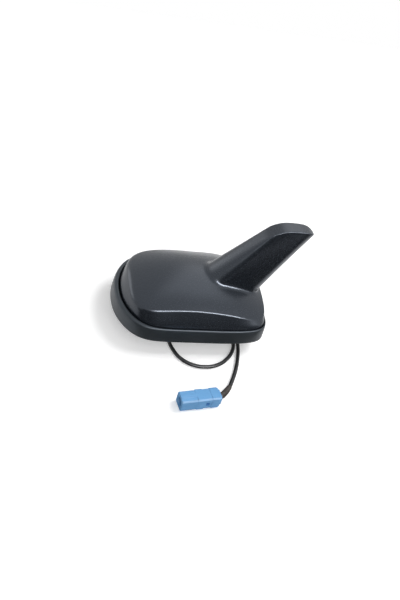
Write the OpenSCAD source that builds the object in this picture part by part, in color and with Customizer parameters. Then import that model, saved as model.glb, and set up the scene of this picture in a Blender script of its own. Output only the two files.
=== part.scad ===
// Shark fin roof aerial. A raked hollow fin stands on a pillow shaped cover, which sits in a
// rubber skirt over a cast base. The base has a slotted, threaded neck for the roof, and a
// coaxial lead leaves the neck, makes one lap round it and ends in a coded blue plug.
// Front is -X, rear is +X, and the roof is the plane z = 0 with the neck on the origin.

/* [Skirt] */
// Length of the rubber skirt, front to rear
skirt_l = 112; // [104:1:124]
// Width of the rubber skirt
skirt_w = 80; // [76:1:92]
// Height of the skirt above the roof
skirt_h = 12; // [10:0.5:12.5]
// Ledge of rubber that shows in front of the cover
ledge_front = 5.4; // [3.4:0.1:6]
// Ledge of rubber at each side of the cover
ledge_side = 2.3; // [1.8:0.1:3.5]
// Ledge of rubber behind the cover
ledge_rear = 1.4; // [1.3:0.1:3]
// Thickness of the skirt's floor under the base
skirt_floor = 2.5; // [1.5:0.1:3.5]
// Width of the floor at the front and at the rear
skirt_floor_w = 13.5; // [12:0.5:16]
// Half width of the opening in the skirt's floor
open_half = 26.5; // [26:0.5:27.5]
// Curve of the front corners, where 2 is an ellipse
front_power = 2.4; // [2.2:0.1:3.2]
// Squareness of the rear corners
rear_power = 6.8; // [4:0.1:8]
// Squareness of the crest's front corners
crest_power = 4.5; // [3:0.5:5.5]

/* [Cover] */
// Wall of the moulded cover
wall = 2.4; // [1.8:0.1:2.8]
// Height of the crest, the edge between side and top, at its highest
crest_h = 24; // [23.5:0.5:27]
// How far the crest falls towards the rear
crest_drop = 11.5; // [7:0.5:11.5]
// How far the crest falls round the front corners
crest_nose = 2.6; // [0:0.1:4]
// Lean of the side wall: crest to lower edge, seen from above
crest_side = 5.5; // [4:0.1:7]
// The same at the front
crest_front = 5.8; // [4.5:0.1:8]
// The same at the rear
crest_rear = 0.7; // [0.6:0.1:3]
// Height of the crown, along the middle
crown_h = 34; // [31:0.5:37]
// How far the crown falls towards the rear
crown_drop = 14; // [11:0.5:15]
// Place of the crown's highest point
crown_x = 2; // [-4:0.5:6]
// Softness of the crest along the sides and the rear
crest_round = 1.1; // [0.8:0.1:2.5]
// Softness of the crest at the front
front_round = 3; // [2:0.5:8]

/* [Fin] */
// Top of the fin above the roof
fin_h = 79.4; // [74:0.2:88]
// How far the front shoulder of the fin lies below its top
fin_shoulder = 8.4; // [6:0.2:10]
// How far the rear tip of the fin lies below its top
fin_tip = 4.1; // [3:0.1:7]
// Space between the cover's rear edge and the fin's foot
fin_back = 4.6; // [4.2:0.2:8]
// Length of the fin at its foot
fin_foot_l = 41.2; // [38:0.2:44]
// Length of the fin at its top
fin_top_l = 36.4; // [33:0.2:40]
// Rake of the fin: how far its tip stands out behind its foot
fin_rake = 29; // [24:0.5:32]
// Distance of the fin's highest point from its tip
fin_peak_in = 16; // [12:0.5:20]
// Half thickness of the fin at its foot
fin_foot_half = 12; // [9:0.1:13]
// Half thickness of the fin at its top
fin_top_half = 5.5; // [5:0.1:7]
// Share of the thickness that is left where the rear edge begins to round
fin_tail = 0.92; // [0.8:0.01:0.95]
// Radius of the fillet round the fin's foot
fin_fillet = 2.4; // [1.5:0.1:3.5]
// Softness of the edge between the fin's sides and its top
fin_edge = 1.1; // [0.5:0.1:1.5]

/* [Base and neck] */
// Thickness of the cast base plate
plate_t = 3; // [2:0.1:4]
// Clearance between pieces that fit into each other
gap = 0.35; // [0.2:0.05:0.4]
// Diameter of the plain collar that centres in the roof's hole
collar_d = 16.4; // [15:0.2:20]
// Length of the collar below the roof plane
collar_l = 3; // [2:0.5:4]
// Outer diameter of the threaded neck
neck_d = 15.8; // [14.4:0.2:17]
// Length of the neck below the roof plane
neck_l = 13; // [12:0.5:18]
// Bore of the neck
neck_bore = 9; // [8:0.2:10]
// Width of the slot that the lead leaves the neck by
slot_w = 4.8; // [4.6:0.1:6]
// Thickness of the roof nut
nut_t = 4.6; // [4:0.1:5]
// Width of the roof nut across its flats
nut_af = 24; // [22:1:27]
// Thickness of the toothed washer
washer_t = 1.2; // [0.8:0.1:1.6]
// Thread diameter of the cover's screws
screw_d = 2.9; // [2.5:0.1:3.2]

/* [Board] */
// Thickness of the circuit board
board_t = 1.6; // [1:0.2:2]
// Space between the cover's front wall and the board
board_in = 4; // [4:0.5:8]
// Height of the posts that carry the board
post_h = 4.5; // [4:0.1:6]
// Length of the board behind the radiator
board_out = 8; // [7:0.5:11]
// Width of the board
board_w = 28; // [27:0.5:28.5]
// Side of the square ceramic patch
patch_w = 25; // [18:0.5:25]
// Thickness of the ceramic patch
patch_t = 4; // [3:0.5:5]

/* [Lead and plug] */
// Outer diameter of the coaxial lead
lead_d = 2.8; // [2.4:0.1:3.2]
// Outer diameter of the shrunk sleeve at the plug
sleeve_d = 4.4; // [4:0.1:5]
// Length of the plug's housing
plug_l = 29.5; // [26:0.5:32]
// Width of the plug's housing
plug_w = 10.8; // [10:0.2:11.6]
// Height of the plug's housing
plug_h = 10.4; // [9.8:0.1:11]
// Diameter of the plug's socket
socket_d = 6.4; // [6:0.1:6.8]

/* [Hidden] */
$fn = 48;
sides = 88;

// Where the cover's lower edge lies, seen from above, and the line of its crest.
edge_front = -skirt_l / 2 + ledge_front;
edge_rear = skirt_l / 2 - ledge_rear;
edge_half = skirt_w / 2 - ledge_side;
line_front = edge_front + crest_front;
line_rear = edge_rear - crest_rear;
line_half = edge_half - crest_side;
line_mid = (line_front + line_rear) / 2;
crest_shift = 11;
nose_from = 25;
crown_power = 2.2;
skirt_edge_front = -skirt_l / 2;
skirt_edge_rear = skirt_l / 2;

// Where the fin stands: its foot, its top and its highest point.
fin_foot_rear = edge_rear - fin_back;
fin_foot_front = fin_foot_rear - fin_foot_l;
fin_top_rear = fin_foot_rear + fin_rake;
fin_top_front = fin_top_rear - fin_top_l;
fin_peak = fin_top_rear - fin_peak_in;

function signed_power(v, p) = sign(v) * pow(abs(v), p);
function corner_power(t, front) = front + (rear_power - front) * (1 + cos(t)) / 2;

// One closed outline, seen from above, between a front, a rear and a half width.
function plan_ring(front, rear, half, z, power = front_power) = [
    for (i = [0 : sides - 1])
        let (t = 360 * (i + 0.5) / sides, p = 2 / corner_power(t, power))
            [(front + rear) / 2 + (rear - front) / 2 * signed_power(cos(t), p),
             half * signed_power(sin(t), p), z]
];
function flat_ring(front, rear, half) = [for (p = plan_ring(front, rear, half, 0)) [p[0], p[1]]];

// Heights of the cover's top: along its middle, along its crest, and in between.
function ridge_z(x) = crown_h - crown_drop * pow((x - crown_x) / (line_rear - crown_x), 2);
function crest_z(x) =
    crest_h - crest_drop * pow((x - line_mid + crest_shift) / (line_rear - line_mid + crest_shift), 2)
        - crest_nose * pow(max(0, line_mid - nose_from - x) / (line_mid - nose_from - line_front), 2);
function top_z(x, y) = ridge_z(x) - (ridge_z(x) - crest_z(x)) * pow(abs(y) / line_half, crown_power);

// A closed solid through a stack of rings, from the point low to the point high.
module loft(rings, low, high) {
    n = len(rings[0]);
    m = len(rings);
    polyhedron(
        points = concat([for (r = rings) each r], [low, high]),
        faces = concat(
            [for (k = [0 : m - 2]) for (i = [0 : n - 1])
                [k * n + i, (k + 1) * n + i, (k + 1) * n + (i + 1) % n]],
            [for (k = [0 : m - 2]) for (i = [0 : n - 1])
                [k * n + i, (k + 1) * n + (i + 1) % n, k * n + (i + 1) % n]],
            [for (i = [0 : n - 1]) [m * n, i, (i + 1) % n]],
            [for (i = [0 : n - 1]) [m * n + 1, (m - 1) * n + (i + 1) % n, (m - 1) * n + i]]),
        convexity = 8);
}

// A closed ring of rubber or the like: the rings run round its section and join up again.
module ring_loft(rings) {
    n = len(rings[0]);
    m = len(rings);
    polyhedron(
        points = [for (r = rings) each r],
        faces = concat(
            [for (k = [0 : m - 1]) for (i = [0 : n - 1])
                [k * n + i, ((k + 1) % m) * n + i, ((k + 1) % m) * n + (i + 1) % n]],
            [for (k = [0 : m - 1]) for (i = [0 : n - 1])
                [k * n + i, ((k + 1) % m) * n + (i + 1) % n, k * n + (i + 1) % n]]),
        convexity = 8);
}

// The cover's body. Each ring of the top is the crest line drawn in by a share, and the crest
// itself is rounded between a point down the side wall and a point on the top.
cover_foot_z = skirt_floor + gap;
function mix(a, b, s) = a + (b - a) * s;
function ring_mix(a, b, s) = [for (i = [0 : len(a) - 1]) mix(a[i], b[i], s)];
function edge_ring(inset, z) = plan_ring(edge_front + inset, edge_rear - inset, edge_half - inset, z);
function line_ring(inset, drop) = [
    for (p = plan_ring(line_front + inset, line_rear - inset, line_half - inset, 0, crest_power))
        [p[0], p[1], top_z(p[0], p[1]) - drop]
];
function crown_ring(inset, drop, share) = [
    for (p = line_ring(inset, drop))
        let (x = mix(p[0], line_mid, share), y = p[1] * (1 - share))
            [x, y, top_z(x, y) - drop]
];
function round_at(i) =
    let (t = 360 * (i + 0.5) / sides, f = max(0, -cos(t)))
        mix(crest_round, front_round, pow(f, 3));
function crest_ring(inset, drop, s) =
    let (low = edge_ring(inset, skirt_h), mid = line_ring(inset, drop),
         high = crown_ring(inset, drop, 0.5))
    [for (i = [0 : sides - 1])
        let (r = round_at(i),
             a = mix(mid[i], low[i], min(0.9, r / norm(low[i] - mid[i]))),
             b = mix(mid[i], high[i], min(0.9, r / norm(high[i] - mid[i]))))
            mix(mix(a, mid[i], s), mix(mid[i], b, s), s)];
function soft_crown_ring(inset, drop, share) =
    let (outer = crest_ring(inset, drop, 1))
    [for (p = outer)
        let (x = mix(p[0], line_mid, share), y = p[1] * (1 - share))
            [x, y, mix(p[2] + top_z(x, y) - top_z(p[0], p[1]), top_z(x, y) - drop, min(1, 2 * share))]];

module body_outside() {
    loft(
        concat(
            [edge_ring(0.3, cover_foot_z), edge_ring(0, skirt_h)],
            [for (s = [0, 0.25, 0.5, 0.75, 1]) crest_ring(0, 0, s)],
            [for (share = [0.12, 0.28, 0.46, 0.66, 0.85]) soft_crown_ring(0, 0, share)]),
        [line_mid, 0, cover_foot_z],
        [line_mid, 0, top_z(line_mid, 0)]);
}

module body_inside() {
    loft(
        concat(
            [edge_ring(wall, cover_foot_z - 1), edge_ring(wall, skirt_h)],
            [crest_ring(wall, wall, 0), crest_ring(wall, wall, 1)],
            [for (share = [0.2, 0.5, 0.8]) soft_crown_ring(wall, wall, share)]),
        [line_mid, 0, cover_foot_z - 1],
        [line_mid, 0, top_z(line_mid, 0) - wall]);
}

// The fin's section: a blunt rounded nose, long sides and a rounded tail. Point i and point
// (nose_steps - i) are mirror images.
nose_steps = 12;
side_steps = 5;
tail_steps = 10;
nose_power = 2.3;
nose_share = 0.85;
tail_power = 2.15;
function fin_section(front, rear, half, tail, tail_l) =
    let (nose_l = nose_share * half)
    concat(
        [for (k = [0 : nose_steps])
            let (a = 90 - 180 * k / nose_steps)
                [front + nose_l - nose_l * signed_power(cos(a), 2 / nose_power),
                 half * signed_power(sin(a), 2 / nose_power)]],
        [for (k = [1 : side_steps])
            let (s = k / (side_steps + 1))
                [mix(front + nose_l, rear - tail_l, s), -mix(half, tail, s * s)]],
        [for (k = [0 : tail_steps])
            let (a = -90 + 180 * k / tail_steps)
                [rear - tail_l + tail_l * signed_power(cos(a), 2 / tail_power),
                 tail * signed_power(sin(a), 2 / tail_power)]],
        [for (k = [side_steps : -1 : 1])
            let (s = k / (side_steps + 1))
                [mix(front + nose_l, rear - tail_l, s), mix(half, tail, s * s)]]);
function foot_section(inset) = fin_section(
    fin_foot_front + inset * 1.4, fin_foot_rear - inset * 1.1,
    fin_foot_half - inset, fin_foot_half * fin_tail - inset, 0.9 * fin_foot_half * fin_tail - inset);
function top_section(inset) = fin_section(
    fin_top_front + inset * 1.4, fin_top_rear - inset * 1.1,
    fin_top_half - inset, fin_top_half * fin_tail - inset, 1.7 * fin_top_half * fin_tail - inset);

// The fin's outline from the side: a long curve over the front shoulder to the highest point,
// and a short one down to the rear tip.
shoulder_z = fin_h - fin_shoulder;
tip_z = fin_h - fin_tip;
front_bend = 2.66;
rear_bend = 3.2;
function outline_z(x) =
    x < fin_peak
        ? fin_h - fin_shoulder * pow((fin_peak - x) / (fin_peak - fin_top_front), front_bend)
        : fin_h - fin_tip * pow((x - fin_peak) / (fin_top_rear - fin_peak), rear_bend);
function away(pts, i) =
    let (n = len(pts), a = pts[(i + n - 1) % n], b = pts[(i + 1) % n], d = b - a)
        [d[1], -d[0]] / max(norm(d), 0.001);
function edge_loop(inset) = [for (p = top_section(inset)) [p[0], p[1], outline_z(p[0]) - inset]];

// Rings of the foot fillet lie on the cover's top, lifted by h and spread by the fillet.
function fillet_ring(angle) =
    let (pts = foot_section(0), top = edge_loop(0),
         out = fin_fillet * (1 - sin(angle)), h = fin_fillet * (1 - cos(angle)))
    [for (i = [0 : len(pts) - 1])
        let (share = h / (top[i][2] - ridge_z(pts[i][0])),
             q = mix(pts[i], [top[i][0], top[i][1]], share) + away(pts, i) * out)
            [q[0], q[1], top_z(q[0], q[1]) + h]];
function side_ring(share) =
    let (low = fillet_ring(90), top = edge_loop(0)) [for (i = [0 : len(low) - 1]) mix(low[i], top[i], share)];
function cap_ring(inset) =
    let (top = edge_loop(0), in = top_section(inset))
    [for (i = [0 : len(top) - 1]) [in[i][0], in[i][1], outline_z(in[i][0])]];

// A loft that ends at a long narrow loop, whose mirrored points are joined across.
module fin_loft(rings, low) {
    n = len(rings[0]);
    m = len(rings);
    last = (m - 1) * n;
    nose = nose_steps / 2;
    polyhedron(
        points = concat([for (r = rings) each r], [low]),
        faces = concat(
            [for (k = [0 : m - 2]) for (i = [0 : n - 1])
                [k * n + i, (k + 1) * n + i, (k + 1) * n + (i + 1) % n]],
            [for (k = [0 : m - 2]) for (i = [0 : n - 1])
                [k * n + i, (k + 1) * n + (i + 1) % n, k * n + (i + 1) % n]],
            [for (i = [0 : n - 1]) [m * n, i, (i + 1) % n]],
            [for (j = [0 : n / 2 - 2])
                [last + nose + j, last + (nose - j - 1 + n) % n, last + nose + j + 1]],
            [for (j = [1 : n / 2 - 1])
                [last + nose + j, last + (nose - j + n) % n, last + (nose - j - 1 + n) % n]]),
        convexity = 8);
}

module fin_outside() {
    buried = [for (p = fillet_ring(0)) [p[0], p[1], p[2] - wall / 2]];
    mid = mix(fin_foot_front, fin_foot_rear, 0.5);
    soft = [for (i = [0 : len(buried) - 1])
        let (a = side_ring(0.97)[i], b = edge_loop(0)[i], c = cap_ring(fin_edge)[i]) (a + 2 * b + c) / 4];
    fin_loft(
        concat(
            [buried],
            [for (angle = [0, 30, 60, 90]) fillet_ring(angle)],
            [for (share = [0.33, 0.67, 0.97]) side_ring(share)],
            [soft],
            [for (inset = [fin_edge, 2, 3.4]) cap_ring(inset)]),
        [mid, 0, top_z(mid, 0) - wall / 2]);
}

module fin_inside() {
    mid = mix(fin_foot_front, fin_foot_rear, 0.5);
    low = [for (p = foot_section(wall)) [p[0], p[1], top_z(p[0], p[1]) - 2 * wall]];
    fin_loft([low, edge_loop(wall)], [mid, 0, top_z(mid, 0) - 2 * wall]);
}

// Places of the screws that hold the cover to the base, as [x, y]. They stand in the opening
// of the skirt's floor and beside the patch.
boss_d = screw_d + 3.4;
screw_front = skirt_edge_front + skirt_floor_w + 12.5;
screw_rear = skirt_edge_rear - skirt_floor_w - 6.5;
screw_at = [
    for (place = [[screw_front, open_half - 8.5], [0, open_half - 5.5], [screw_rear, open_half - 7.5]])
        for (side = [1, -1]) [place[0], side * place[1]]
];
plate_top = skirt_floor + plate_t;

module screw_boss(at) {
    top = top_z(at[0], at[1]) - wall / 2;
    hull() {
        translate([at[0], at[1], plate_top + gap]) cylinder(d = boss_d, h = 0.1, $fn = 20);
        translate([at[0], at[1], top - 1]) cylinder(d = boss_d + 1.4, h = 0.1, $fn = 20);
    }
}

// Stiffening ribs across the inside of the crown, in front of the fin and behind the patch.
module crown_rib(x, half) {
    depth = 3;
    for (side = [-1, 1])
        hull() {
            translate([x - 0.7, 0, ridge_z(x) - wall - depth]) cube([1.4, 0.1, depth + wall / 2]);
            translate([x - 0.7, side * half, top_z(x, half) - wall - depth + 0.8])
                cube([1.4, 0.1, depth - 0.8 + wall / 2]);
        }
}

module cover() {
    color("#2b2d30")
    difference() {
        union() {
            difference() {
                union() {
                    body_outside();
                    fin_outside();
                }
                body_inside();
                fin_inside();
            }
            for (at = screw_at) screw_boss(at);
            crown_rib(edge_front + 13.4, line_half - 18.2);
            crown_rib(-6, line_half - 10.2);
        }
        for (at = screw_at)
            translate([at[0], at[1], plate_top - 1])
                cylinder(d = screw_d + 2 * gap, h = screw_bite + 2, $fn = 16);
    }
}

// The rubber skirt: one section, taken round the outline. The cover's edge stands in it.
module gasket() {
    function skirt_ring(front, side, rear, z) =
        plan_ring(skirt_edge_front + front, skirt_edge_rear - rear, skirt_w / 2 - side, z);
    in_front = ledge_front - gap;
    in_side = ledge_side - gap;
    in_rear = ledge_rear - gap;
    color("#3a3d3b")
    ring_loft([
        skirt_ring(0, 0, 0, 0),
        skirt_ring(0.15 * in_front, 0.25 * in_side, 0.2 * in_rear, skirt_h - 3.2),
        skirt_ring(0.28 * in_front, 0.4 * in_side, 0.32 * in_rear, skirt_h - 1.6),
        skirt_ring(0.5 * in_front, 0.62 * in_side, 0.56 * in_rear, skirt_h - 0.7),
        skirt_ring(0.8 * in_front, 0.86 * in_side, 0.84 * in_rear, skirt_h - 0.3),
        skirt_ring(in_front, in_side, in_rear, skirt_h - 0.4),
        skirt_ring(in_front, in_side, in_rear, skirt_floor),
        skirt_ring(skirt_floor_w, skirt_w / 2 - open_half, skirt_floor_w, skirt_floor),
        skirt_ring(skirt_floor_w, skirt_w / 2 - open_half, skirt_floor_w, 0)]);
}

plate_in = wall + gap + 0.3;
head_d = screw_d + 2.6;
head_t = 1.7;
pedestal_z = 0.4;
pocket_x = skirt_l / 2 - skirt_floor_w - 13.5;

// The cast base: a plate inside the cover's edge, a pedestal through the skirt's opening with
// pockets round the screws, posts for the board, and the slotted neck.
module base_plate() {
    color("#9a9da0")
    difference() {
        union() {
            translate([0, 0, skirt_floor])
                linear_extrude(plate_t)
                    polygon(flat_ring(edge_front + plate_in, edge_rear - plate_in, edge_half - plate_in));
            translate([0, 0, pedestal_z])
                linear_extrude(skirt_floor - pedestal_z + 0.5)
                    difference() {
                        polygon(flat_ring(
                            skirt_edge_front + skirt_floor_w + gap, skirt_edge_rear - skirt_floor_w - gap,
                            open_half - gap));
                        for (at = screw_at) translate(at) circle(d = head_d + 3);
                        for (x = [9 - pocket_x, pocket_x - 9]) for (y = [-13, 13])
                            translate([x, y]) square([15, 9], center = true);
                        for (x = [-pocket_x, pocket_x])
                            translate([x, 0]) square([7, 12], center = true);
                    }
            for (at = post_at)
                translate([at[0], at[1], plate_top - 0.5]) cylinder(d = 5, h = post_h + 0.5);
            translate([0, 0, -collar_l]) cylinder(d = collar_d, h = collar_l + skirt_floor + 0.5);
            translate([0, 0, -neck_l]) cylinder(d = neck_d, h = neck_l);
        }
        translate([0, 0, -neck_l - 1]) cylinder(d = neck_bore, h = neck_l + plate_top + 2);
        translate([0, -slot_w / 2, -neck_l - 1]) cube([collar_d, slot_w, slot_top + neck_l + 1]);
        for (at = screw_at)
            translate([at[0], at[1], -1]) cylinder(d = screw_d + 2 * gap, h = plate_top + 2);
        for (at = post_at)
            translate([at[0], at[1], plate_top + 0.5]) cylinder(d = board_screw_d + 0.2, h = post_h);
    }
}

seal_w = 1.7;
module cover_seal() {
    in = plate_in + 0.2;
    color("#1d1f20")
    translate([0, 0, plate_top])
        linear_extrude(seal_w)
            difference() {
                polygon(flat_ring(edge_front + in, edge_rear - in, edge_half - in));
                polygon(flat_ring(edge_front + in + seal_w, edge_rear - in - seal_w, edge_half - in - seal_w));
            }
}

// The board lies on six posts, and the lead comes up through its round window.
board_screw_d = 2;
board_front = -(edge_front + wall + board_in);
holder_x = fin_foot_front + 12.2;
board_rear = holder_x + board_out;
board_z = plate_top + post_h;
board_top = board_z + board_t;
post_at = [
    for (x = [-board_front + 3.5, 7, board_rear - 3.5]) for (side = [-1, 1])
        [x, side * (board_w / 2 - (x < 0 ? 7 : 3.5))]
];
module circuit_board() {
    corner = 9;
    color("#2f6b3a")
    translate([0, 0, board_z])
        linear_extrude(board_t)
            difference() {
                polygon([
                    [-board_front, -board_w / 2 + corner], [-board_front + corner, -board_w / 2],
                    [board_rear - 2, -board_w / 2], [board_rear, -board_w / 2 + 2],
                    [board_rear, board_w / 2 - 2], [board_rear - 2, board_w / 2],
                    [-board_front + corner, board_w / 2], [-board_front, board_w / 2 - corner]]);
                circle(d = neck_bore + 2);
                for (at = post_at) translate(at) circle(d = board_screw_d + 0.4);
                for (at = screw_at) translate(at) circle(d = boss_d + 1.4 + 2 * gap);
                translate([patch_x + pin_off, 0]) circle(d = pin_d + 2 * gap);
            }
}

patch_x = -board_front + patch_w / 2 + 6;
pin_off = 2;
pin_d = 1;
tape_t = 0.5;
module patch_tape() {
    color("#d8d8d2")
    translate([patch_x, 0, board_top])
        linear_extrude(tape_t)
            difference() {
                square(patch_w - 2, center = true);
                translate([pin_off, 0]) circle(d = pin_d + 2);
            }
}

module patch_antenna() {
    cut = 1.5;
    h = patch_w / 2;
    color("#cdb892")
    translate([patch_x, 0, board_top + tape_t])
        linear_extrude(patch_t)
            difference() {
                polygon([
                    [-h + cut, -h], [h - cut, -h], [h, -h + cut], [h, h - cut],
                    [h - cut, h], [-h + cut, h], [-h, h - cut], [-h, -h + cut]]);
                translate([pin_off, 0]) circle(d = pin_d + 2 * 0.15);
            }
}

module feed_pin() {
    patch_top = board_top + tape_t + patch_t;
    color("#c9a24a")
    translate([patch_x + pin_off, 0, 0]) {
        translate([0, 0, board_z - 0.6]) cylinder(d = pin_d, h = patch_top - board_z + 0.6, $fn = 24);
        translate([0, 0, patch_top]) cylinder(d = pin_d + 1.4, h = 0.5, $fn = 24);
    }
}

// The shield can is a folded tin lid under the board, with its open side against the board.
can = [patch_w - 3, patch_w - 7, post_h - 1.1];
can_x = patch_x + 1.5;
module shield_can() {
    sheet = 0.4;
    color("#b9bcc0")
    translate([can_x, 0, board_z - can[2]])
        difference() {
            translate([-can[0] / 2, -can[1] / 2, 0]) cube(can);
            translate([-can[0] / 2 + sheet, -can[1] / 2 + sheet, sheet])
                cube([can[0] - 2 * sheet, can[1] - 2 * sheet, can[2]]);
            for (x = [-3, -1, 1, 3]) for (y = [-5, 5])
                translate([x * can[0] / 11, y * can[1] / 18, -1]) cylinder(d = 1.2, h = 3, $fn = 24);
        }
}

module board_chips() {
    unit_l = can[0] / 22;
    chip_t = can[2] / 3;
    color("#26282a")
    for (chip = [[-6, -4, 4, 4], [5, 4.5, 3, 5], [-7, 4.5, 3, 2]] * unit_l)
        translate([can_x + chip[0] - chip[2] / 2, chip[1] - chip[3] / 2, board_z - chip_t])
            cube([chip[2], chip[3], chip_t]);
}

// The radiator is a flat metal blade that stands in its holder and rises inside the fin.
blade_t = 1;
holder_l = 13;
function lead_x(z) = mix(fin_foot_front, fin_top_front, (z - crown_h) / (shoulder_z - crown_h));
function tail_x(z) =
    mix(fin_foot_rear, fin_top_rear, (z - ridge_z(fin_foot_rear)) / (tip_z - ridge_z(fin_foot_rear)));
module fin_radiator() {
    in = wall + 5.5;
    foot_z = board_top + 1;
    bend_z = crown_h - 6;
    top = shoulder_z - 1;
    color("#b08d4f")
    translate([0, blade_t / 2, 0])
        rotate([90, 0, 0])
            linear_extrude(blade_t)
                polygon([
                    [holder_x - 4.5, foot_z], [holder_x + 4.5, foot_z], [holder_x + 4.5, bend_z - 4],
                    [tail_x(bend_z + 6) - in - 4, bend_z + 6], [tail_x(top) - in, top],
                    [lead_x(top) + in, top], [lead_x(bend_z + 6) + in + 2, bend_z + 6],
                    [holder_x - 4.5, bend_z - 3]]);
}

module radiator_holder() {
    color("#e4e2da")
    difference() {
        union() {
            translate([holder_x - holder_l / 2, -3.5, board_top]) cube([holder_l, 7, 2.2]);
            translate([holder_x - 6, -2, board_top]) cube([12, 4, 7]);
        }
        translate([holder_x - 4.5 - 0.2, -blade_t / 2 - 0.1, board_top + 1])
            cube([9.4, blade_t + 0.2, 8]);
    }
}

// The spring bears on the blade's side, and its foot is soldered to the board.
module contact_spring() {
    color("#d2b26a")
    translate([holder_x - 1.5, 0, board_top])
        rotate([90, 0, 90])
            linear_extrude(3)
                polygon([
                    [4, 0], [8.5, 0], [8.5, 0.3], [4.9, 0.3], [2.6, 7.6], [0.9, 9.2], [2.6, 11.4],
                    [2.3, 11.6], [blade_t / 2 + 0.02, 9.2], [2.3, 7.4], [4.5, 0.4], [4, 0.3]]);
}

module small_screw(d, head, head_h, l) {
    cylinder(d = head, h = head_h);
    translate([0, 0, -l]) cylinder(d = d, h = l);
}

module board_screws() {
    color("#c4c7ca")
    for (at = post_at)
        translate([at[0], at[1], board_top])
            small_screw(board_screw_d, 1.8 * board_screw_d, 0.6 * board_screw_d, post_h - 0.5);
}

screw_bite = 9;
module cover_screws() {
    color("#c4c7ca")
    for (at = screw_at)
        translate([at[0], at[1], skirt_floor])
            rotate([180, 0, 0])
                small_screw(screw_d, head_d, head_t, plate_t + screw_bite);
}

// The rubber grommet fills the neck's bore round the lead and leaves by the slot as a taper.
tail_z = -neck_l + 2.3;
slot_top = tail_z + slot_w / 2;
tail_end = 15;
module neck_grommet() {
    color("#202223")
    union() {
        translate([0, 0, -neck_l + 0.3]) cylinder(d = neck_bore - 0.2, h = neck_l - 1.3);
        translate([0, 0, tail_z]) rotate([0, 90, 0]) cylinder(d1 = slot_w - 0.4, d2 = lead_d + 0.8, h = tail_end);
    }
}

// A round tube swept along a route. Straight pieces between the points become a smooth curve.
function curve(pts, parts) = concat(
    [for (i = [0 : len(pts) - 2]) for (k = [0 : parts - 1])
        let (s = k / parts, b = pts[i], c = pts[i + 1],
             a = i > 0 ? pts[i - 1] : 2 * b - c,
             d = i < len(pts) - 2 ? pts[i + 2] : 2 * c - b)
            0.5 * (2 * b + (c - a) * s + (2 * a - 5 * b + 4 * c - d) * s * s
                + (3 * b - a - 3 * c + d) * s * s * s)],
    [pts[len(pts) - 1]]);
function unit(v) = v / norm(v);
function tube_ring(pts, i, r, n, up) =
    let (along = unit(pts[min(i + 1, len(pts) - 1)] - pts[max(i - 1, 0)]),
         across = unit(cross(along, up)), over = cross(across, along))
    [for (k = [0 : n - 1]) pts[i] + r * (cos(360 * k / n) * across + sin(360 * k / n) * over)];
module tube(pts, r, n, up) {
    loft([for (i = [0 : len(pts) - 1]) tube_ring(pts, i, r, n, up)], pts[0], pts[len(pts) - 1]);
}

// From the grommet up the neck, through the board's window and sideways down onto the board.
inner_l = plate_top + post_h + board_t;
inner_route = [
    [0, 0, -1], [0, 0, 5], [0, 0.3, inner_l - 1.6], [0, 2.4, inner_l + 2.3], [0, 6, inner_l + 2.6],
    [0, 9.2, inner_l + 1.6], [0, 12.4, inner_l + lead_d / 2 + 0.05]
];
module inner_lead() {
    color("#17181a")
    tube(curve(inner_route, 2), lead_d / 2, 8, [1, 0, 0]);
}

module toothed_washer() {
    color("#b4b7ba")
    translate([0, 0, -collar_l - 0.2 - washer_t])
        linear_extrude(washer_t)
            difference() {
                union() {
                    circle(d = nut_af - 1);
                    for (k = [0 : 11])
                        rotate(k * 30) translate([nut_af / 2 - 1, 0]) polygon([[0, -1.6], [2, 0], [0, 1.6]]);
                }
                circle(d = collar_d + 0.6);
            }
}

module roof_nut() {
    color("#a7aaad")
    translate([0, 0, -collar_l - 0.2 - washer_t - nut_t])
        difference() {
            union() {
                cylinder(d = nut_af / cos(30), h = nut_t, $fn = 6);
                translate([0, 0, nut_t - 1]) cylinder(d = nut_af + 1.5, h = 1);
            }
            translate([0, 0, -1]) cylinder(d = neck_d + 0.1, h = nut_t + 2);
        }
}

// The lead's route on the surface that the neck stands on: out of the slot to the rear, one
// lap round the neck towards the front, out again past the rear and across to the plug.
lead_z = -neck_l + lead_d / 2;
lead_route = [
    [15, 0, -10.7], [19, -1, -11.2], [24, -4, lead_z], [30, -11, lead_z], [34, -19, lead_z], [35.5, -28, lead_z],
    [33, -36.5, lead_z], [27, -44.5, lead_z], [19, -50, lead_z], [10, -52, lead_z], [1, -50.5, lead_z],
    [-7, -45, lead_z], [-12, -36, lead_z], [-14, -26, lead_z], [-14, -14, lead_z], [-12, -2, lead_z],
    [-5, 9, lead_z], [7, 14, lead_z], [20, 12.5, lead_z], [31, 5, lead_z], [37.5, -7, lead_z], [39.5, -20, lead_z],
    [38.7, -31, lead_z], [36, -43, lead_z], [31.8, -55, lead_z], [27.3, -64.5, lead_z], [24, -70.5, -11.2]
];
module antenna_lead() {
    color("#17181a")
    tube(curve(lead_route, 2), lead_d / 2, 8, [0, 0, 1]);
}

// The sleeve carries on where the bare lead ends, and meets the plug's back.
plug_at = [13.5, -82, -neck_l + plug_h / 2];
plug_turn = 188.5;
sleeve_route = [
    [24, -70.5, -11.2], [20.5, -75, -10.4], [17, -79, -9.2], plug_at + [1.3, 0.5, 0.6], plug_at + [0, 0.3, 0.6]
];
module lead_sleeve() {
    color("#33302d")
    tube(curve(sleeve_route, 2), sleeve_d / 2, 12, [0, 0, 1]);
}

// The plug lies on its side, with its mouth towards the front. Here x runs to its mouth.
module at_plug() {
    translate(plug_at) rotate([0, 0, plug_turn]) children();
}

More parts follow.
